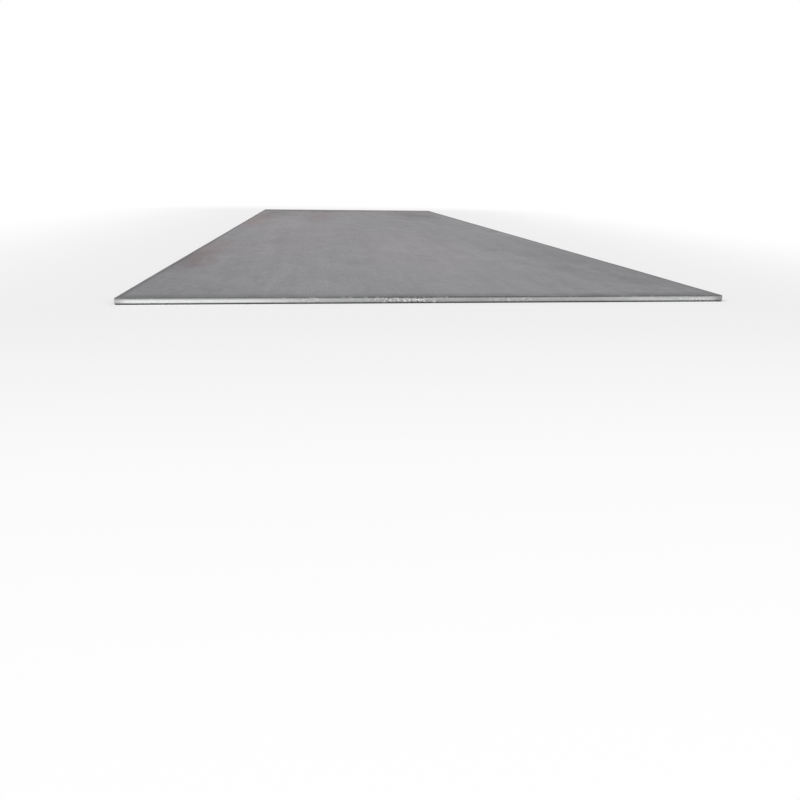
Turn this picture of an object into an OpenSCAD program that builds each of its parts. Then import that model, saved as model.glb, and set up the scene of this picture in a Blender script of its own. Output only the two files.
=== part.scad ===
// Hot-rolled steel plate, as it comes from the mill: rolled side edges and sheared ends.
// Millimetres. The origin is the centre of the underside, +Y runs along the
// rolling direction and +Z points up.

/* [Plate] */
// Width over the rolled side edges
plate_w = 1800; // [1000:10:3000]
// Length over the sheared ends, along the rolling direction
plate_l = 6000; // [2000:50:12000]
// Thickness between the two rolled faces
plate_t = 20; // [12:1:40]

/* [Rolled side edges] */
// How far each side edge bulges out at mid thickness
edge_bulge = 3; // [1:0.5:5]

/* [Sheared ends] */
// Radius of the top edge, where the blade drew the metal down
draw_down_r = 2.5; // [1:0.5:4]
// Height of the smooth band that the blade cut, below that radius
cut_band_h = 6; // [3:0.5:7]
// How far the torn band below it leans back at the underside
tear_lean = 1.5; // [0.5:0.25:3]

/* [Corners] */
// Radius of the four corners in plan
corner_r = 6; // [3:1:25]

/* [Hidden] */
$fn = 96;

scale_grey = [0.55, 0.55, 0.56];

// Each side edge is one arc whose chord is the thickness and whose rise is the bulge
bulge_r = (pow(plate_t / 2, 2) + pow(edge_bulge, 2)) / (2 * edge_bulge);
// What is left of the thickness below the smooth band tears
torn_h = plate_t - draw_down_r - cut_band_h;

// Section across the width: two flat faces between two bulging side edges
module rolled_section() {
  arc_x = plate_w / 2 - bulge_r;
  intersection() {
    translate([-plate_w / 2, 0])
      square([plate_w, plate_t]);
    union() {
      translate([-arc_x, 0])
        square([2 * arc_x, plate_t]);
      for (side = [-1, 1])
        translate([side * arc_x, plate_t / 2])
          circle(bulge_r);
    }
  }
}

// Profile along the length: each end is round at the top, upright over the cut
// band and leaning back over the torn band
module sheared_profile() {
  end_y = plate_l / 2;
  round_y = end_y - draw_down_r;
  foot_y = end_y - tear_lean;
  shoulder_z = plate_t - draw_down_r;
  polygon([
    [-foot_y, 0],
    [foot_y, 0],
    [end_y, torn_h],
    [end_y, shoulder_z],
    [round_y, plate_t],
    [-round_y, plate_t],
    [-end_y, shoulder_z],
    [-end_y, torn_h]
  ]);
  for (side = [-1, 1])
    translate([side * round_y, shoulder_z])
      circle(draw_down_r);
}

// Outline in plan: a rectangle with slightly rounded corners
module plan_outline() {
  inner_w = plate_w - 2 * corner_r;
  inner_l = plate_l - 2 * corner_r;
  square([inner_w, plate_l], center = true);
  square([plate_w, inner_l], center = true);
  for (side = [-1, 1], end = [-1, 1])
    translate([side * inner_w / 2, end * inner_l / 2])
      circle(corner_r);
}

// The plate is what the section, the end profile and the plan outline share
module steel_plate() {
  color(scale_grey)
    intersection() {
      rotate([90, 0, 0])
        linear_extrude(plate_l, center = true)
          rolled_section();
      rotate([90, 0, 90])
        linear_extrude(plate_w, center = true)
          sheared_profile();
      linear_extrude(plate_t)
        plan_outline();
    }
}

steel_plate();
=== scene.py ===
import math
from types import SimpleNamespace
import bpy
import numpy as np
from mathutils import Euler, Matrix, Vector


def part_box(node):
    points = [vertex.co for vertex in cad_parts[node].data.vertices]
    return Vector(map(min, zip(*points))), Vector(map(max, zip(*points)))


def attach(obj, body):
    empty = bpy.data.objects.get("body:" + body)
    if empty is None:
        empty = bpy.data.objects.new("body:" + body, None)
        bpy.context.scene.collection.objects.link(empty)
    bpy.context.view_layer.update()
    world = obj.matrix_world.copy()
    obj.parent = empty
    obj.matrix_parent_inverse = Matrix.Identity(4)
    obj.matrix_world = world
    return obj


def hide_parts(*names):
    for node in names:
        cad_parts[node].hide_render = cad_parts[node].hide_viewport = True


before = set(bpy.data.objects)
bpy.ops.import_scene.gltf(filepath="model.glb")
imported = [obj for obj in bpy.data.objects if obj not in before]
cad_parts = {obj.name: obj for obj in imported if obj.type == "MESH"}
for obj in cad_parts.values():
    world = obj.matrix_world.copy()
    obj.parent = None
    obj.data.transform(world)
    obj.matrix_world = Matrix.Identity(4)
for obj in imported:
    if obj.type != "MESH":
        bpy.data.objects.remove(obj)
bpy.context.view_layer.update()        # one body, "root", that holds the one node
plateLow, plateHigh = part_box("steel_plate")
plateMid = (plateLow + plateHigh) / 2
plateWidth, plateLength, plateThick = plateHigh - plateLow
print("frame loaded: plate", [round(side, 3) for side in (plateWidth, plateLength, plateThick)])


# an output socket of a node tree; arithmetic on it adds Math nodes
class Wire:
    def __init__(self, tree, socket=None):
        self.tree = tree
        self.socket = socket

    # any node: its settings are set first, then its sockets get values or links
    def node(self, kind, settings, sockets, out=0):
        made = self.tree.nodes.new(kind)
        for key, value in settings.items():
            setattr(made, key, value)
        for key, value in sockets.items():
            if isinstance(value, Wire):
                self.tree.links.new(value.socket, made.inputs[key])
            else:
                made.inputs[key].default_value = value
        return Wire(self.tree, made.outputs[out] if made.outputs else None)

    # another output of the same node
    def output(self, key):
        return Wire(self.tree, self.socket.node.outputs[key])

    def maths(self, operation, *values):
        return self.node("ShaderNodeMath", {"operation": operation}, dict(enumerate(values)))

    def __add__(self, other):
        return self.maths("ADD", self, other)

    def __sub__(self, other):
        return self.maths("SUBTRACT", self, other)

    def __rsub__(self, other):
        return self.maths("SUBTRACT", other, self)

    def __mul__(self, other):
        return self.maths("MULTIPLY", self, other)

    def __truediv__(self, other):
        return self.maths("DIVIDE", self, other)

    def __pow__(self, other):
        return self.maths("POWER", self, other)

    def __abs__(self):
        return self.maths("ABSOLUTE", self)

    __radd__ = __add__
    __rmul__ = __mul__

    def larger(self, other):
        return self.maths("MAXIMUM", self, other)

    def smaller(self, other):
        return self.maths("MINIMUM", self, other)

    # 0 below start, 1 above end, with an S-shaped rise between; start may be the larger
    def rise(self, start, end):
        sockets = {"Value": self, "From Min": start, "From Max": end}
        return self.node("ShaderNodeMapRange", {"interpolation_type": "SMOOTHSTEP"}, sockets)

    # noise around 0.5 on these coordinates, which are stretched by one scale for each axis
    def noise(self, scale, detail, roughness, warp=0.0, offset=(0.0, 0.0, 0.0)):
        placed = self.node("ShaderNodeMapping", {}, {"Vector": self, "Scale": scale, "Location": offset})
        sockets = {"Vector": placed, "Scale": 1.0, "Detail": detail, "Roughness": roughness,
                   "Distortion": warp}
        return self.node("ShaderNodeTexNoise", {"noise_dimensions": "3D"}, sockets, "Fac")

    # a colour that turns from one to another as this value goes from 0 to 1
    def blend(self, first, second):
        settings = {"data_type": "RGBA", "blend_type": "MIX"}
        return self.node("ShaderNodeMix", settings, {0: self, 6: first, 7: second}, 2)


def grey(level, warm=0.0):
    # a grey of this level, a little redder for a positive warmth and bluer for a negative one
    return (level * (1 + warm), level, level * (1 - warm), 1.0)


def newMaterial(name):
    material = bpy.data.materials.new(name)
    material.use_nodes = True
    material.node_tree.nodes.clear()
    return material, Wire(material.node_tree)


def meshObject(name, points, faces, material):
    mesh = bpy.data.meshes.new(name)
    mesh.from_pydata(points.tolist(), [], faces)
    mesh.materials.append(material)
    made = bpy.data.objects.new(name, mesh)
    bpy.context.scene.collection.objects.link(made)
    return made


# camera: beside the middle line, low above the upper face, looking along the plate
cameraSetup = {
    "aside": -0.3286,        # metres from the plate's middle line
    "before": 2.017,         # metres in front of the near end
    "above": 0.3227,         # metres over the upper face
    "yaw": -6.663,           # degrees, negative turns to the right
    "down": 17.426,          # degrees below level
    "roll": 0.795,           # degrees about its line of sight
    "lens": 31.53,           # millimetres
    "sensor": 36.0,          # millimetres
    "farClip": 300.0,        # metres, past the floor's corners
}


def makeCamera(setup):
    data = bpy.data.cameras.new("camera")
    data.sensor_width = setup["sensor"]
    data.lens = setup["lens"]
    data.clip_end = setup["farClip"]
    camera = bpy.data.objects.new("camera", data)
    camera.location = (plateMid.x + setup["aside"], plateLow.y - setup["before"],
                       plateHigh.z + setup["above"])
    aim = Euler((math.radians(90 - setup["down"]), 0, math.radians(setup["yaw"]))).to_matrix()
    camera.rotation_euler = (aim @ Matrix.Rotation(math.radians(setup["roll"]), 3, "Z")).to_euler()
    bpy.context.scene.collection.objects.link(camera)
    bpy.context.scene.camera = camera


makeCamera(cameraSetup)
print("camera made")


plateShape = {
    "edgeBulge": 0.003,      # the rolled side edges stand out this far at mid thickness
    "creaseRound": 0.001,    # round of the line between a face and a side edge
    "drawDown": 0.0025,      # round of the upper edge at the sheared ends
    "cutBand": 0.006,        # smooth band below it
    "tearLean": 0.0015,      # the torn band leans back this far at the underside
    "cornerRound": 0.006,    # round of the corners in plan
    "faceWave": 0.0012,      # depth of the waves in the upper face
    "edgeWander": 0.35,      # share of its bulge that a side edge loses in places
    "tornRough": 0.0006,     # depth of the torn band's hollows
    # knocked stretches of the ends: place along X and half width in metres, and strength
    "knocks": [(-0.08, 0.19, 1.0), (-0.36, 0.05, 0.6), (0.24, 0.12, 0.6), (0.80, 0.12, 0.6)],
    "knockCore": 0.25,       # share of a stretch, about its middle, that has the full strength
    "chips": {               # in the upper edge of the ends
        "depth": 0.0016,
        "fall": 0.003,       # they die out downwards over this height
        "count": 60,
        "nearEnd": 36,       # so many are in the near end, the others in the far one
        "clustered": 16,     # so many of the near ones lie close together
        "clusterAt": -0.06,
        "clusterSpread": 0.10,
        "halfWidths": (0.003, 0.011),
        "depthRoots": (0.2, 1.0),      # their squares are shares of the depth
    },
    "dents": {               # in the knocked stretches
        "depth": 0.0011,
        "levels": (0.58, 0.70),        # a dent begins and is full where its waves pass these
        "flatness": 1.5,     # a dent is wider than high by this factor
    },
    "soundRim": 0.004,       # dents fade out this near to either face, and chips lower no point so low
    # waves that are mixed: the longest and the shortest in metres, and how many
    "waves": {
        "face": (1.6, 0.5, 14),
        "side": (1.2, 0.3, 18),
        "hollow": (0.030, 0.008, 30),
        "smallHollow": (0.008, 0.004, 40),
        "chipEdge": (0.008, 0.003, 24),
        "dent": (0.018, 0.006, 40),
    },
    "mesh": {
        "wideCells": 64,     # cells across the width of both faces
        "fineCells": 24,     # parts of each wide cell along the ends
        "rows": 121,         # points along the length
        "fineRows": 4,       # rows at each end of the upper face that have the fine cells
        "widthPull": 0.5,    # how far points are drawn to the sides, 0 for even steps
        "lengthPull": 0.97,  # and to the ends
        "roundRings": 6,     # rings round the drawn-down edge
        "cutRings": 3,       # over the cut band
        "tornRings": 8,      # over the torn band
        "sharpAngle": 40.0,  # degrees past which shading breaks
    },
    "seed": 12,
}
damageNames = ("chipped", "dented", "knocked")       # attributes that the mesh holds


def gradedSteps(half, count, pull):
    # steps from -half to half, drawn to both ends: a mix of u and sin(90 degrees * u)
    u = np.linspace(-1, 1, count)
    return half * ((1 - pull) * u + pull * np.sin(u * np.pi / 2))


def mixedWaves(x, y, waves, dice):
    # sum of plane waves of random heading, length and phase, brought to the range 0 to 1
    longest, shortest, count = waves
    heading = dice.uniform(0, 2 * np.pi, count)
    turns = 1 / np.exp(dice.uniform(np.log(shortest), np.log(longest), count))
    phase = dice.uniform(0, 2 * np.pi, count)
    along = x[..., None] * np.cos(heading) + y[..., None] * np.sin(heading)
    total = np.cos(2 * np.pi * along * turns + phase).sum(-1)
    return (total - total.min()) / (total.max() - total.min())


def roundedOutline(x, y, halfWidth, halfLength, radius):
    # a point in a corner square of that radius moves along its ray, so that the square becomes
    # a quarter disc; returns the new point and the outward heading of that ray
    tiny = 1e-9        # keeps the division safe outside the corners
    overX = np.maximum(np.abs(x) - (halfWidth - radius), 0)
    overY = np.maximum(np.abs(y) - (halfLength - radius), 0)
    ray = np.maximum(np.hypot(overX, overY), tiny)
    pull = np.where((overX > 0) & (overY > 0), np.maximum(overX, overY) / ray, 1.0)
    roundX = np.sign(x) * (np.minimum(np.abs(x), halfWidth - radius) + overX * pull)
    roundY = np.sign(y) * (np.minimum(np.abs(y), halfLength - radius) + overY * pull)
    return roundX, roundY, np.sign(x) * overX / ray, np.sign(y) * overY / ray


def quarterRound(depth, radius):
    # how far out a quarter circle has come at a depth below the face, as a share of its radius
    share = np.clip(depth / radius, 0, 1)
    return np.sqrt(1 - (1 - share) ** 2)


def edgeProfile(shape):
    # heights of the rings from the upper face down, and how far each goes out. Along X: an arc whose
    # chord is the thickness and whose rise is the bulge, with a small round at the crease. Along Y:
    # a quarter circle, then upright over the cut band, then leaning back over the torn band
    mesh, bulge, crease = shape["mesh"], shape["edgeBulge"], shape["creaseRound"]
    shoulder = plateThick - shape["drawDown"]
    tornTop = shoulder - shape["cutBand"]
    turn = np.linspace(0, np.pi / 2, mesh["roundRings"] + 1)
    height = np.concatenate([plateThick - shape["drawDown"] * (1 - np.cos(turn[1:])),
                             np.linspace(shoulder, tornTop, mesh["cutRings"] + 1)[1:],
                             np.linspace(tornTop, 0, mesh["tornRings"] + 1)[1:]])[:, None]
    depth = plateThick - height
    bulgeRound = ((plateThick / 2) ** 2 + bulge ** 2) / (2 * bulge)
    arc = np.sqrt(bulgeRound ** 2 - (height - plateThick / 2) ** 2) - bulgeRound + bulge
    rolled = quarterRound(depth, crease) * (crease + arc)
    torn = np.clip((tornTop - height) / tornTop, 0, 1)
    sheared = shape["drawDown"] * quarterRound(depth, shape["drawDown"]) - shape["tearLean"] * torn
    return height, rolled, sheared, torn


def chipField(x, y, shape, dice):
    # chips along the two ends: for each a parabola of random place, width and depth, the deepest
    # counts, and short waves along the edge make it ragged
    chips = shape["chips"]
    count, clustered = chips["count"], chips["clustered"]
    place = dice.uniform(-plateWidth / 2, plateWidth / 2, count)
    place[:clustered] = dice.normal(chips["clusterAt"], chips["clusterSpread"], clustered)
    end = np.where(np.arange(count) < chips["nearEnd"], -1, 1)
    halfWidth = dice.uniform(*chips["halfWidths"], count)
    depth = dice.uniform(*chips["depthRoots"], count) ** 2
    notch = depth * np.maximum(1 - ((x[:, None] - place) / halfWidth) ** 2, 0)
    ragged = 0.5 + 0.5 * mixedWaves(x, y * 0, shape["waves"]["chipEdge"], dice)
    return np.where(np.sign(y)[:, None] == end, notch, 0).max(1) * ragged


def knockedShare(x, shape):
    # for each knocked stretch 1 in its core, with an S-shaped fall to 0 at its ends, times its
    # strength; the largest counts
    place, halfWidth, strength = np.array(shape["knocks"]).T
    share = np.clip((1 - np.abs(x[:, None] - place) / halfWidth) / (1 - shape["knockCore"]), 0, 1)
    return (strength * share ** 2 * (3 - 2 * share)).max(1)


def endDamage(x, y, atEnd, height, shape, dice):
    # shares from 0 to 1. hollow: two sets of waves over length and height. chipped: the chip field,
    # falling off exponentially downwards. dented: waves over a level, inside the rim and in the
    # knocked stretches
    waves, dents = shape["waves"], shape["dents"]
    along, up = np.broadcast_arrays(x, height)
    depth = plateThick - height
    hurt = SimpleNamespace()
    hollow = mixedWaves(along, up, waves["hollow"], dice)
    hurt.hollow = (hollow + mixedWaves(along, up, waves["smallHollow"], dice)) / 2
    hurt.chippedEdge = chipField(x, y, shape, dice) * atEnd
    hurt.chipped = hurt.chippedEdge * np.exp(-depth / shape["chips"]["fall"])
    hurt.knocked = knockedShare(x, shape) * atEnd
    begin, full = dents["levels"]
    level = mixedWaves(along, up * dents["flatness"], waves["dent"], dice)
    inside = np.clip(np.minimum(depth, height) / shape["soundRim"], 0, 1)
    hurt.dented = np.clip((level - begin) / (full - begin), 0, 1) * inside * hurt.knocked
    return hurt


def plateSurface(shape):
    # upper face: a graded grid inside a rounded rectangle, lowered by mixed waves.
    # edge band: the edge profile carried round the grid's outline; a point goes out along X by the
    # rolled profile and along Y by the sheared one less the damage, each times the outline's
    # heading there
    dice = np.random.default_rng(shape["seed"])
    mesh, waves, chipDepth = shape["mesh"], shape["waves"], shape["chips"]["depth"]
    halfWidth = plateWidth / 2 - shape["edgeBulge"] - shape["creaseRound"]
    halfLength = plateLength / 2 - shape["drawDown"]
    columns = mesh["wideCells"] * mesh["fineCells"] + 1
    x, y = np.meshgrid(gradedSteps(halfWidth, columns, mesh["widthPull"]),
                       gradedSteps(halfLength, mesh["rows"], mesh["lengthPull"]))
    faceX, faceY, outX, outY = roundedOutline(x, y, halfWidth, halfLength,
                                              shape["cornerRound"] - shape["drawDown"])
    faceZ = plateThick - shape["faceWave"] * mixedWaves(faceX, faceY, waves["face"], dice)

    grid = np.arange(x.size).reshape(x.shape)
    loop = np.concatenate([grid[0], grid[1:, -1], grid[-1, -2::-1], grid[-2:0:-1, 0]])
    loopX, loopY, loopZ = faceX.ravel()[loop], faceY.ravel()[loop], faceZ.ravel()[loop]
    headX, headY = outX.ravel()[loop], outY.ravel()[loop]
    headX[np.abs(loopX) < halfWidth - shape["cornerRound"]] = 0
    headY[np.abs(loopY) < halfLength - shape["cornerRound"]] = 0

    height, rolled, sheared, torn = edgeProfile(shape)
    wander = 1 - shape["edgeWander"] * mixedWaves(loopX * 0, loopY, waves["side"], dice)
    hurt = endDamage(loopX, loopY, np.abs(headY), height, shape, dice)
    goOut = sheared - shape["tornRough"] * hurt.hollow * torn - chipDepth * hurt.chipped
    goOut = goOut - shape["dents"]["depth"] * hurt.dented
    bandX = loopX + headX * rolled * wander
    bandY = loopY + headY * np.maximum(goOut, 0)
    bandZ = height * loopZ / plateThick - chipDepth * hurt.chipped * (height > shape["soundRim"])
    faceZ.ravel()[loop] -= chipDepth * hurt.chippedEdge
    return np.stack([faceX, faceY, faceZ], -1), np.stack([bandX, bandY, bandZ], -1), loop, hurt


def cellFaces(number):
    # one face to each cell of a grid of point numbers
    corners = [number[:-1, :-1], number[:-1, 1:], number[1:, 1:], number[1:, :-1]]
    return np.stack(corners, -1).reshape(-1, 4)


def stitchedFaces(fineRow, wideRow, parts):
    # triangles from a fine row to a wide one: each fine edge goes to the nearest wide point, and
    # each wide edge to the fine point opposite its middle
    nearest = wideRow[(np.arange(len(fineRow) - 1) + parts // 2) // parts]
    toFine = np.stack([fineRow[:-1], fineRow[1:], nearest], -1)
    toWide = np.stack([fineRow[parts // 2::parts], wideRow[1:], wideRow[:-1]], -1)
    return np.concatenate([toFine, toWide])


def sheetFaces(number, fineRows, parts):
    # a sheet with fine cells in the outermost rows of both ends and wide cells between them
    wide = number[:, ::parts]
    near = stitchedFaces(number[fineRows - 1], wide[fineRows], parts)
    far = stitchedFaces(number[-fineRows], wide[-fineRows - 1], parts)[:, ::-1]
    return [cellFaces(number[:fineRows]), near, cellFaces(wide[fineRows:-fineRows]), far,
            cellFaces(number[-fineRows:])]


def plateMesh(shape):
    # one closed mesh. Its points are those of the upper face that are kept, then the rings of the
    # edge band, then the underside, which is the upper face's grid again, flat and with wide cells
    face, band, loop, hurt = plateSurface(shape)
    fineRows, parts = shape["mesh"]["fineRows"], shape["mesh"]["fineCells"]
    kept = np.zeros(face.shape[:2], bool)
    kept[:, ::parts] = True
    kept[:fineRows] = True
    kept[-fineRows:] = True
    upperNumber = np.cumsum(kept).reshape(kept.shape) - 1
    upper = face[kept]
    rings = len(upper) + np.arange(band.size // 3).reshape(band.shape[:2])
    rings = np.concatenate([upperNumber.ravel()[loop][None], rings])
    inner = (slice(1, -1), slice(parts, -parts, parts))
    under = face[inner] * (1, 1, 0)
    underNumber = np.zeros_like(upperNumber)
    underNumber.ravel()[loop] = rings[-1]
    underNumber[inner] = rings.max() + 1 + np.arange(under.size // 3).reshape(under.shape[:2])

    points = np.concatenate([upper, band.reshape(-1, 3), under.reshape(-1, 3)])
    points = points + (plateMid.x, plateMid.y, plateLow.z)
    damage = {name: np.zeros(len(points)) for name in damageNames}
    damage["chipped"][rings] = np.concatenate([hurt.chippedEdge[None], hurt.chipped])
    damage["dented"][rings[1:]] = hurt.dented
    damage["knocked"][rings] = hurt.knocked

    after = np.roll(rings, -1, axis=1)
    bandFaces = np.stack([rings[:-1], rings[1:], after[1:], after[:-1]], -1).reshape(-1, 4)
    underFaces = [part[:, ::-1] for part in sheetFaces(underNumber, 1, parts)]
    allFaces = sheetFaces(upperNumber, fineRows, parts) + [bandFaces] + underFaces
    return points, [corners for part in allFaces for corners in part.tolist()], damage


plateFinish = {
    # layers of noise around 0: waves per metre along X, Y and Z, detail, roughness, warp, offset
    "layers": {
        "cloud": ((1.5, 0.55, 1.0), 6.0, 0.60, 0.6),
        "streak": ((15.0, 0.4, 1.0), 5.0, 0.65),                         # along the rolling direction
        "leveller": ((0.5, 7.0, 1.0), 3.0, 0.60),                        # faint marks across it
        "patch": ((9.0, 4.5, 1.0), 8.0, 0.68, 0.8),
        "mottle": ((42.0, 30.0, 1.0), 4.0, 0.65, 0.5),
        "line": ((600.0, 4.0, 1.0), 2.0, 0.50),                          # hairlines, as the streaks
        "grain": ((260.0, 190.0, 200.0), 3.0, 0.60),
        "lost": ((3.0, 1.2, 1.0), 10.0, 0.70, 1.0, (1.0, 5.0, 0.0)),     # thinner scale
        "dulled": ((4.2, 2.8, 1.0), 6.0, 0.62, 0.4, (9.0, 2.0, 0.0)),    # short dull dashes
        "drift": ((0.9, 0.35, 1.0), 3.0, 0.60, 0.0, (7.0, 3.0, 0.0)),    # of the tint
        "ragged": ((6.0, 2.6, 1.0), 8.0, 0.70, 0.6, (3.0, 1.0, 0.0)),    # borders of marks and grime
        "speck": ((60.0, 34.0, 1.0), 5.0, 0.70, 0.3),                    # of rust
        "lap": ((1.0, 1.5, 420.0), 4.0, 0.60),                           # along the side edges
        "drag": ((800.0, 1.0, 14.0), 3.0, 0.60),                         # upright, on the cut band
        "tear": ((420.0, 1.0, 420.0), 4.0, 0.70),                        # grains of the torn band
        "fray": ((130.0, 1.0, 170.0), 6.0, 0.70),                        # borders of the bare metal
        "uneven": ((22.0, 1.0, 1.0), 4.0, 0.60),                         # start of the tear
        "stretch": ((5.0, 1.0, 1.0), 5.0, 0.65),                         # bright and dull, on the ends
        "fleck": ((90.0, 1.0, 150.0), 6.0, 0.66),
        "pit": ((75.0, 1.0, 120.0), 6.0, 0.68, 0.0, (5.0, 0.0, 2.0)),
    },
    # how much of each layer goes into the tone, the roughness and the height of the bump
    "toneShares": {"cloud": 0.48, "streak": 0.24, "leveller": 0.08, "patch": 0.27, "mottle": 0.22,
                   "line": 0.30, "grain": 0.50},
    "roughShares": {"patch": -0.22, "streak": -0.12, "mottle": -0.20, "line": -0.15},
    "bumpShares": {"patch": 0.35, "line": 0.06, "grain": 0.16},
    "scaleDark": grey(0.150),
    "scaleLight": grey(0.245),
    "coolTint": (0.985, 0.982, 1.048, 1.0),
    "warmTint": (1.035, 0.973, 0.993, 1.0),
    "edgeScaleAndShade": grey(0.060, 0.01),          # darker scale on the side edges and the drawn-down edge; also the painted shade in the ends' crease and at their foot
    "rust": (0.215, 0.140, 0.138, 1.0),
    "smudge": grey(0.085, 0.02),
    "popped": (0.125, 0.100, 0.092, 1.0),    # small spots that have lost their scale
    # the near-white peak of the bare metal is the painted highlight on the ends
    "bareBright": grey(0.95, -0.004),
    "bareDull": grey(0.29, -0.008),
    # tone of the scale, from dark at 0 to light at 1: the plain tone, and what is added to it
    "tone": {
        "plain": 0.535,
        "near": 0.165,       # in the near part
        "far": -0.08,        # at the far end: painted shade that offsets the sheen the face catches at a grazing view
        "side": -0.05,       # times the square of the metres off the middle line
        "nearSide": -0.27,   # and more by this in the near part
        "nearLeft": 0.09,    # per metre along X, in the near part's half at -X
        "lost": 0.10,
        "dulled": -0.13,
        "scratch": 0.02,
    },
    "nearPart": (-0.8, -2.7),        # Y where the near part begins and is full
    "lostLevels": (0.05, 0.09),      # these two begin and are full where their layers pass these
    "dulledLevels": (0.09, 0.18),
    "tintAlong": 0.12,       # change of the tint per metre along Y, from cool at 0 to warm at 1
    "tintDrift": 1.8,
    "scratches": {
        "perMetre": (4.5, 0.75, 0.0),    # cells per metre, with one scratch at most in each
        "chosen": (0.45, 0.8),           # chances between which a cell's scratch gains strength
        "slant": 0.3,
        "width": (0.011, 0.003),         # parts of a cell
        "length": (0.42, 0.12),
        "rough": -0.05,
        "bump": -0.05,
    },
    "spots": {
        "perMetre": 18.0,    # cells of 55 mm with one spot in each
        "largest": 0.11,     # radius as a part of a cell, 6 mm
        "rarity": 3.0,       # most are tiny: the radius goes with this power of a chance
        "ragged": 0.10,
        "border": (0.0, -0.02),
        "strength": 0.5,
    },
    # soft marks on the upper face: place and half size in metres, strength, and whether it is rusty
    "marks": [
        ((-0.86, -2.03), (0.11, 0.42), 0.62, False),
        ((-0.83, -2.10), (0.10, 0.26), 0.50, True),
        ((-0.87, -1.58), (0.14, 0.70), 0.50, True),
        ((-0.84, 1.20), (0.16, 1.60), 0.55, True),
        ((-0.70, 1.95), (0.18, 0.60), 0.52, False),
        ((-0.32, 1.60), (0.14, 1.20), 0.45, True),
        ((0.58, 1.90), (0.30, 1.00), 0.56, False),
        ((0.80, -2.05), (0.30, 0.75), 0.24, False),
        ((0.82, -2.62), (0.10, 0.25), 0.22, False),
        ((-0.16, -2.12), (0.07, 0.12), 0.22, False),
        ((-0.06, -2.985), (0.10, 0.03), 0.40, False),
        ((-0.35, 2.74), (0.75, 0.44), 0.55, False),
    ],
    "markBorder": (1.2, -0.6),       # squared distance, 1 at the half size, where a mark fades in
    "markRagged": 4.0,
    "speckLevels": (-0.14, 0.16),
    "speckFloor": 0.45,              # strength of the rust between its specks
    "grime": {               # borders are metres in from the outline
        "end": (0.085, 0.002),
        "farEnd": (0.45, 0.05),
        "farShare": 0.9,
        "side": (0.030, 0.004),
        "sideShare": 1.3,
        "sideLean": -0.35,   # change of that share per metre along X
        "plain": 0.45,
        "ragged": 1.3,
        "mottle": 0.7,
    },
    "side": {
        "border": (0.0055, 0.0032),      # metres in from the side
        "rubbed": (-0.08, 0.12),         # levels of the laps and patches where the scale is rubbed
        "rubbedShare": 0.5,
    },
    # places on the ends: borders are metres in from the end, down from the top or up from the underside
    "ends": {
        "border": (0.0028, 0.0018),      # in from the end
        "lowerTop": (0.0020, 0.0030),    # down from the top, where the border goes further in
        "lowerBorder": (0.0050, 0.0045),     # in from the end, past the deepest dents
        "foot": (0.0060, 0.0022),        # up from the underside
        "middle": ((-0.45, -0.05), (0.80, 0.40)),      # X of both borders of the middle stretch
        "bareFrom": 0.0005,              # down from the top, where bare metal begins and is full
        "bareFull": 0.0041,
        "bareFullMiddle": 0.0035,        # further down by this in the middle
        "belly": (0.05, 0.90),           # nearness to the height of the painted highlight
        "bellyHeight": 0.45,             # that height, as a share of the thickness
        "bellyMiddle": 0.05,             # higher by this in the middle
        "tornBorder": (-0.0008, 0.0008),
        "tornUneven": 0.006,
        "tornMiddle": 0.002,             # the tear starts higher by this in the middle
        "frayFloor": 0.3,                # share of the fray outside the knocked stretches
        "frayIn": 0.003,                 # how far it moves the end's border
        "frayUp": 0.008,                 # and the borders in height
        "frayHighlight": 0.5,
        "darkScaleAndShade": 0.52,                    # share of dark on the drawn-down edge, partly scale and partly painted shade in its crease, and its changes
        "darkRagged": 0.5,
        # the foot's extra dark is partly burr and partly a painted contact shadow where the end meets
        # the floor
        "footBurrAndShadow": 0.45,
        "darkKnocked": 0.12,
    },
    # tone of the bare metal, from dull at 0 to bright at 1: the plain tone, and what is added to it
    "bareTone": {
        "plain": 0.36,
        "left": 0.6,
        "right": 0.24,
        "middle": 0.13,
        "corner": -0.45,
        "stretch": 0.5,
        "drag": 0.9,         # on the cut band
        "torn": -0.04,       # on the torn band
        "tornMiddle": -0.16,
        "tear": 1.1,
        "range": (-0.1, 1.1),
    },
    "leftPart": (-0.2, -0.75),       # X where the ends' left and right parts begin and are full
    "rightPart": (0.35, 0.9),
    "cornerPart": (0.045, 0.008),    # metres in from the side
    "flecks": {"levels": (0.07, 0.18), "knocked": 0.07, "plain": 0.65, "drag": 0.9, "tear": 0.8},
    "pits": {"levels": (0.25, 0.85), "ragged": 1.8, "plain": 0.2, "knocked": 0.5},
    "scores": {"levels": (0.03, 0.15), "share": 0.45},
    "endBump": {"drag": 0.3, "tear": 1.2, "pit": -0.6},
    "chipped": {"levels": (0.12, 0.45), "ragged": 0.3, "share": 0.7},
    # the shader's values on plain scale, and what is added on bare metal, the torn band and rust
    "roughness": {"plain": 0.66, "bare": -0.28, "torn": 0.16, "rust": 0.3},
    "metallic": {"plain": 0.4, "bare": 0.45, "rust": -0.4},
    "specular": 0.3,
    "bumpStrength": 0.5,
    "bumpDistance": 0.001,
}


def platePlaces(start, layers):
    # the point's coordinates, its distances in from the ends, the sides and the upper face, its
    # shares of the damage that the mesh holds, and the layers of noise there
    at = SimpleNamespace()
    at.here = start.node("ShaderNodeTexCoord", {}, {}, "Object")
    at.x = start.node("ShaderNodeSeparateXYZ", {}, {"Vector": at.here})
    at.y = at.x.output("Y")
    at.z = at.x.output("Z")
    at.inFromEnd = plateLength / 2 - abs(at.y)
    at.inFromSide = plateWidth / 2 - abs(at.x)
    at.fromTop = plateThick - at.z
    for name in damageNames:
        setattr(at, name, start.node("ShaderNodeAttribute", {"attribute_name": name}, {}, "Fac"))
    for name, values in layers.items():
        setattr(at, name, at.here.noise(*values) - 0.5)
    return at


def layered(at, shares, base):
    # the base, plus each layer times its share
    for name, share in shares.items():
        base = base + getattr(at, name) * share
    return base


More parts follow.
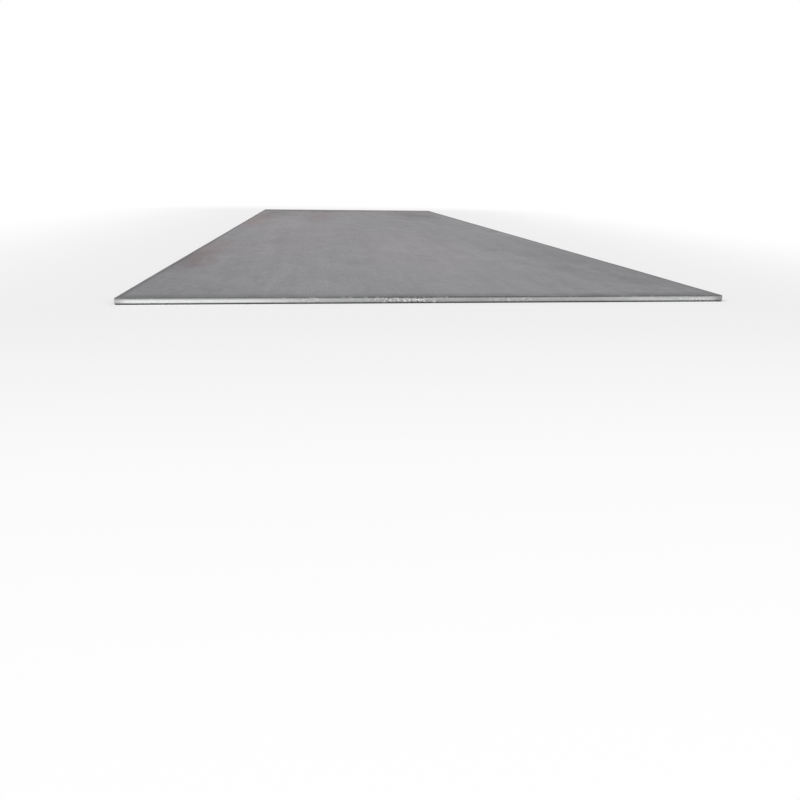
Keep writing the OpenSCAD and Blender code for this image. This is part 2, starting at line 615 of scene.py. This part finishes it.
def scratchLines(scratches, here):
    # straight scratches, at most one to each cell of a stretched cell pattern, some cells without
    cells = here.node("ShaderNodeMapping", {}, {"Vector": here, "Scale": scratches["perMetre"]})
    sockets = {"Vector": cells, "Scale": 1.0}
    middle = here.node("ShaderNodeTexVoronoi", {"voronoi_dimensions": "2D"}, sockets, "Position")
    inCell = here.node("ShaderNodeVectorMath", {"operation": "SUBTRACT"}, {0: cells, 1: middle})
    across = here.node("ShaderNodeSeparateXYZ", {}, {"Vector": inCell})
    along = across.output("Y")
    chance = here.node("ShaderNodeSeparateColor", {}, {"Color": middle.output("Color")})
    offLine = abs(across - along * (chance - 0.5) * scratches["slant"])
    chosen = chance.output("Green").rise(*scratches["chosen"])
    return offLine.rise(*scratches["width"]) * abs(along).rise(*scratches["length"]) * chosen


def poppedSpots(spots, at):
    # one ragged spot to each cell of a cell pattern, whose radius is a power of the cell's chance
    sockets = {"Vector": at.here, "Scale": spots["perMetre"]}
    away = at.here.node("ShaderNodeTexVoronoi", {"voronoi_dimensions": "2D"}, sockets, "Distance")
    chance = at.here.node("ShaderNodeSeparateColor", {}, {"Color": away.output("Color")})
    radius = chance ** spots["rarity"] * spots["largest"]
    return (away + at.grain * spots["ragged"] - radius).rise(*spots["border"]) * spots["strength"]


def rolledScale(finish, at, scratch):
    # grey scale between its dark and light colours by the tone, which is the plain one plus what the
    # place, thin and dull patches, scratches and layers add; its tint drifts from cool to warm
    add = finish["tone"]
    near = at.y.rise(*finish["nearPart"])
    # the tone falls toward the far end as painted shade, against the sheen there
    tone = add["plain"] + near * add["near"] + at.y.rise(0.0, plateLength / 2) * add["far"]
    tone = tone + at.x * at.x * (add["side"] + near * add["nearSide"])
    tone = tone + near * at.x.smaller(0.0) * add["nearLeft"] + scratch * add["scratch"]
    tone = tone + at.lost.rise(*finish["lostLevels"]) * add["lost"]
    tone = tone + at.dulled.rise(*finish["dulledLevels"]) * add["dulled"]
    tone = layered(at, finish["toneShares"], tone).rise(0.0, 1.0)
    colour = tone.blend(finish["scaleDark"], finish["scaleLight"])
    colour = poppedSpots(finish["spots"], at).blend(colour, finish["popped"])
    warmth = 0.5 + at.y * finish["tintAlong"] + at.drift * finish["tintDrift"]
    tint = warmth.rise(0.0, 1.0).blend(finish["coolTint"], finish["warmTint"])
    return at.here.node("ShaderNodeVectorMath", {"operation": "MULTIPLY"}, {0: colour, 1: tint})


def softMarks(finish, at, colour):
    # ovals with ragged edges; rust is a thin blush, denser in specks
    speck = finish["speckFloor"] + at.speck.rise(*finish["speckLevels"]) * (1 - finish["speckFloor"])
    rusted = 0.0
    for (markX, markY), (sizeX, sizeY), strength, rusty in finish["marks"]:
        away = ((at.x - markX) / sizeX) ** 2 + ((at.y - markY) / sizeY) ** 2
        mark = (away + at.ragged * finish["markRagged"]).rise(*finish["markBorder"]) * strength
        if rusty:
            mark = mark * speck
            rusted = mark + rusted
        colour = mark.blend(colour, finish["rust"] if rusty else finish["smudge"])
    return colour, rusted


def outlineGrime(finish, at, colour):
    # grime that thins out from the ends and the sides, wider at the far end and thinner at +X
    grime = finish["grime"]
    farEnd = (plateLength / 2 - at.y).rise(*grime["farEnd"]) * grime["farShare"]
    sides = at.inFromSide.rise(*grime["side"]) * (grime["sideShare"] + at.x * grime["sideLean"])
    share = at.inFromEnd.rise(*grime["end"]).larger(sides).larger(farEnd)
    uneven = grime["plain"] + at.ragged * grime["ragged"] + at.mottle * grime["mottle"]
    return (share * uneven).blend(colour, finish["edgeScaleAndShade"])


def sideScale(finish, at, colour):
    # side edges: darker scale, rubbed lighter in patches, with laps that run along the length
    side = finish["side"]
    rubbed = ((at.lap + at.patch) * 0.5).rise(*side["rubbed"]) * side["rubbedShare"]
    scale = rubbed.blend(finish["edgeScaleAndShade"], finish["scaleLight"])
    return at.inFromSide.rise(*side["border"]).blend(colour, scale)


def endPlaces(ends, at):
    # masks with borders that fray in the knocked stretches: the end itself, its foot, the middle of
    # its width, the bare metal between the drawn-down edge and the foot, how near a point is to the
    # height of the painted highlight on the bare metal, and the torn band, which starts higher in the
    # middle
    mask = SimpleNamespace()
    fray = at.fray * (ends["frayFloor"] + at.knocked * (1 - ends["frayFloor"]))
    lower = at.fromTop.rise(*ends["lowerTop"]) * at.inFromEnd.rise(*ends["lowerBorder"])
    mask.end = (at.inFromEnd + fray * ends["frayIn"]).rise(*ends["border"]).larger(lower)
    mask.foot = (at.z + fray * ends["frayUp"]).rise(*ends["foot"])
    leftBorder, rightBorder = ends["middle"]
    mask.middle = at.x.rise(*leftBorder) * at.x.rise(*rightBorder)
    bareFull = mask.middle * ends["bareFullMiddle"] + ends["bareFull"]
    bare = (at.fromTop + fray * ends["frayUp"]).rise(ends["bareFrom"], bareFull)
    mask.bare = bare * mask.end * (1 - mask.foot)
    offHighlight = abs(at.z / plateThick - (ends["bellyHeight"] + mask.middle * ends["bellyMiddle"]))
    mask.belly = (1 - offHighlight * 2 + fray * ends["frayHighlight"]).rise(*ends["belly"])
    cutEnd = plateShape["drawDown"] + plateShape["cutBand"]
    tornFrom = cutEnd + at.uneven * ends["tornUneven"] - mask.middle * ends["tornMiddle"]
    mask.torn = (at.fromTop - tornFrom).rise(*ends["tornBorder"])
    return mask


def bareSteel(finish, at, mask):
    # bare metal between dull and bright by its tone, smooth with drag lines over the cut band and
    # grainy over the torn band, with bright flecks and dark pits in the knocked stretches; returns
    # its colour and its height for the bump
    add, flecks, pits, scores = finish["bareTone"], finish["flecks"], finish["pits"], finish["scores"]
    cut = 1 - mask.torn
    tone = add["plain"] + mask.middle * add["middle"] + at.stretch * add["stretch"]
    tone = tone + at.x.rise(*finish["leftPart"]) * add["left"]
    tone = tone + at.x.rise(*finish["rightPart"]) * add["right"]
    tone = tone + at.inFromSide.rise(*finish["cornerPart"]) * add["corner"]
    tone = tone + cut * at.drag * add["drag"]
    tone = tone + mask.torn * (at.tear * add["tear"] + add["torn"] + mask.middle * add["tornMiddle"])

    fleck = (at.fleck + at.knocked * flecks["knocked"]).rise(*flecks["levels"]) * at.knocked
    fleck = fleck * (flecks["plain"] + at.drag * flecks["drag"] + at.tear * flecks["tear"])
    pit = (at.dented + at.pit * pits["ragged"]).rise(*pits["levels"])
    pit = pit * (pits["plain"] + at.knocked * pits["knocked"])
    score = cut * at.drag.rise(*scores["levels"]) + mask.torn * at.tear.rise(*scores["levels"])
    # painted highlight: the bare metal is brightest about one height of the end, like a rounded edge
    # catching the light
    bright = tone.rise(*add["range"]) * mask.belly + fleck
    steel = bright.blend(finish["bareDull"], finish["bareBright"])
    steel = (score * scores["share"]).blend(steel, finish["bareDull"])
    bump = finish["endBump"]
    height = cut * at.drag * bump["drag"] + mask.torn * at.tear * bump["tear"] + pit * bump["pit"]
    return pit.blend(steel, finish["edgeScaleAndShade"]), height


def shearedEnds(finish, at, mask, colour):
    # dark drawn-down edge, scale with painted shade in its crease, and dark foot, burr with a painted
    # contact shadow; bare metal between them, and chips of dull torn metal
    ends, chips = finish["ends"], finish["chipped"]
    darkScaleAndShade = ends["darkScaleAndShade"] + at.ragged * ends["darkRagged"]
    darkScaleAndShade = darkScaleAndShade + mask.foot * ends["footBurrAndShadow"] + at.knocked * ends["darkKnocked"]
    colour = (mask.end * darkScaleAndShade).blend(colour, finish["edgeScaleAndShade"])
    steel, height = bareSteel(finish, at, mask)
    colour = mask.bare.blend(colour, steel)
    chipped = (at.chipped + at.mottle * chips["ragged"]).rise(*chips["levels"])
    return (chipped * chips["share"]).blend(colour, finish["bareDull"]), mask.bare * height


def hotRolledFinish(finish):
    material, start = newMaterial("hotRolledSteel")
    at = platePlaces(start, finish["layers"])
    mask = endPlaces(finish["ends"], at)
    scratch = scratchLines(finish["scratches"], at.here)
    colour = rolledScale(finish, at, scratch)
    colour, rusted = softMarks(finish, at, colour)
    colour = outlineGrime(finish, at, colour)
    colour = sideScale(finish, at, colour)
    colour, height = shearedEnds(finish, at, mask, colour)

    rough, metal, scratches = finish["roughness"], finish["metallic"], finish["scratches"]
    roughness = rough["plain"] + mask.bare * rough["bare"] + mask.bare * mask.torn * rough["torn"]
    roughness = roughness + rusted * rough["rust"] + scratch * scratches["rough"]
    roughness = layered(at, finish["roughShares"], roughness)
    metallic = metal["plain"] + mask.bare * metal["bare"] + rusted * metal["rust"]
    height = layered(at, finish["bumpShares"], height + scratch * scratches["bump"])
    sockets = {"Strength": finish["bumpStrength"], "Distance": finish["bumpDistance"], "Height": height}
    bump = start.node("ShaderNodeBump", {}, sockets)
    sockets = {"Base Color": colour, "Roughness": roughness, "Metallic": metallic, "Normal": bump,
               "Specular IOR Level": finish["specular"]}
    surface = start.node("ShaderNodeBsdfPrincipled", {}, sockets)
    start.node("ShaderNodeOutputMaterial", {}, {"Surface": surface})
    return material


def makePlate(shape, finish):
    points, faces, damage = plateMesh(shape)
    plate = meshObject("steelPlate", points, faces, hotRolledFinish(finish))
    mesh = plate.data
    for name, values in damage.items():
        mesh.attributes.new(name, "FLOAT", "POINT").data.foreach_set("value", values)
    mesh.polygons.foreach_set("use_smooth", np.ones(len(mesh.polygons), bool))
    mesh.set_sharp_from_angle(angle=math.radians(shape["mesh"]["sharpAngle"]))
    mesh.update()
    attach(plate, "root")
    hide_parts("steel_plate")
    print("plate made:", len(mesh.vertices), "points,", len(mesh.polygons), "faces")


makePlate(plateShape, plateFinish)


studio = {
    "floorColour": grey(0.87),
    "floorReach": 60.0,      # metres from the middle to the floor's edge
    "fade": (0.05, 1.9),     # painted shadow halo: the pale grey floor near the plate turns to plain white between these distances from it
    "white": 1.0,            # strength at which the background shows as white
    "skyLight": 0.56,        # strength of the even light from all round
    "keyHeading": (0.62, 0.45, -0.75),    # the way that the key light shines
    "keyStrength": 1.95,
    "keySpread": 40.0,       # degrees that it fills in the sky, for soft shadows
}


def seenRays(start):
    # 1 for a ray from the camera or one that metal or glass sends on, which see the background
    ray = start.node("ShaderNodeLightPath", {}, {}, "Is Camera Ray")
    return ray.larger(ray.output("Is Glossy Ray")).larger(ray.output("Is Transmission Ray"))


def floorFinish(setup):
    # matt pale grey near the plate, which takes its real shadow and makes a painted shadow halo round
    # it, and plain white further off
    material, start = newMaterial("paleFloor")
    here = start.node("ShaderNodeTexCoord", {}, {}, "Object")
    x = here.node("ShaderNodeSeparateXYZ", {}, {"Vector": here})
    outX = (abs(x) - plateWidth / 2).larger(0.0)
    outY = (abs(x.output("Y")) - plateLength / 2).larger(0.0)
    away = (outX * outX + outY * outY) ** 0.5
    # the grey floor near the plate against the white further off is a painted shadow halo
    plain = away.rise(*setup["fade"]) * seenRays(start)
    matt = start.node("ShaderNodeBsdfDiffuse", {}, {"Color": setup["floorColour"]})
    white = start.node("ShaderNodeEmission", {}, {"Strength": setup["white"]})
    mixed = start.node("ShaderNodeMixShader", {}, {0: plain, 1: matt, 2: white})
    start.node("ShaderNodeOutputMaterial", {}, {"Surface": mixed})
    return material


def makeFloor(setup):
    # a flat square at the height of the underside
    reach = setup["floorReach"]
    across, along = np.meshgrid((-reach, reach), (-reach, reach))
    points = np.stack([across, along, across * 0], -1).reshape(-1, 3)
    points = points + (plateMid.x, plateMid.y, plateLow.z)
    floor = meshObject("floor", points, [[0, 1, 3, 2]], floorFinish(setup))


def makeLights(setup):
    world = bpy.data.worlds.new("studio")
    bpy.context.scene.world = world
    world.use_nodes = True
    world.node_tree.nodes.clear()
    start = Wire(world.node_tree)
    sky = start.node("ShaderNodeBackground", {}, {"Color": grey(1.0), "Strength": setup["skyLight"]})
    white = start.node("ShaderNodeBackground", {}, {"Color": grey(1.0), "Strength": setup["white"]})
    mixed = start.node("ShaderNodeMixShader", {}, {0: seenRays(start), 1: sky, 2: white})
    start.node("ShaderNodeOutputWorld", {}, {"Surface": mixed})

    data = bpy.data.lights.new("key", "SUN")
    data.energy = setup["keyStrength"]
    data.angle = math.radians(setup["keySpread"])
    key = bpy.data.objects.new("key", data)
    key.rotation_euler = Vector(setup["keyHeading"]).to_track_quat("-Z", "Y").to_euler()
    bpy.context.scene.collection.objects.link(key)


makeFloor(studio)
makeLights(studio)
bpy.context.scene.view_settings.view_transform = "Standard"
print("floor and lights made")
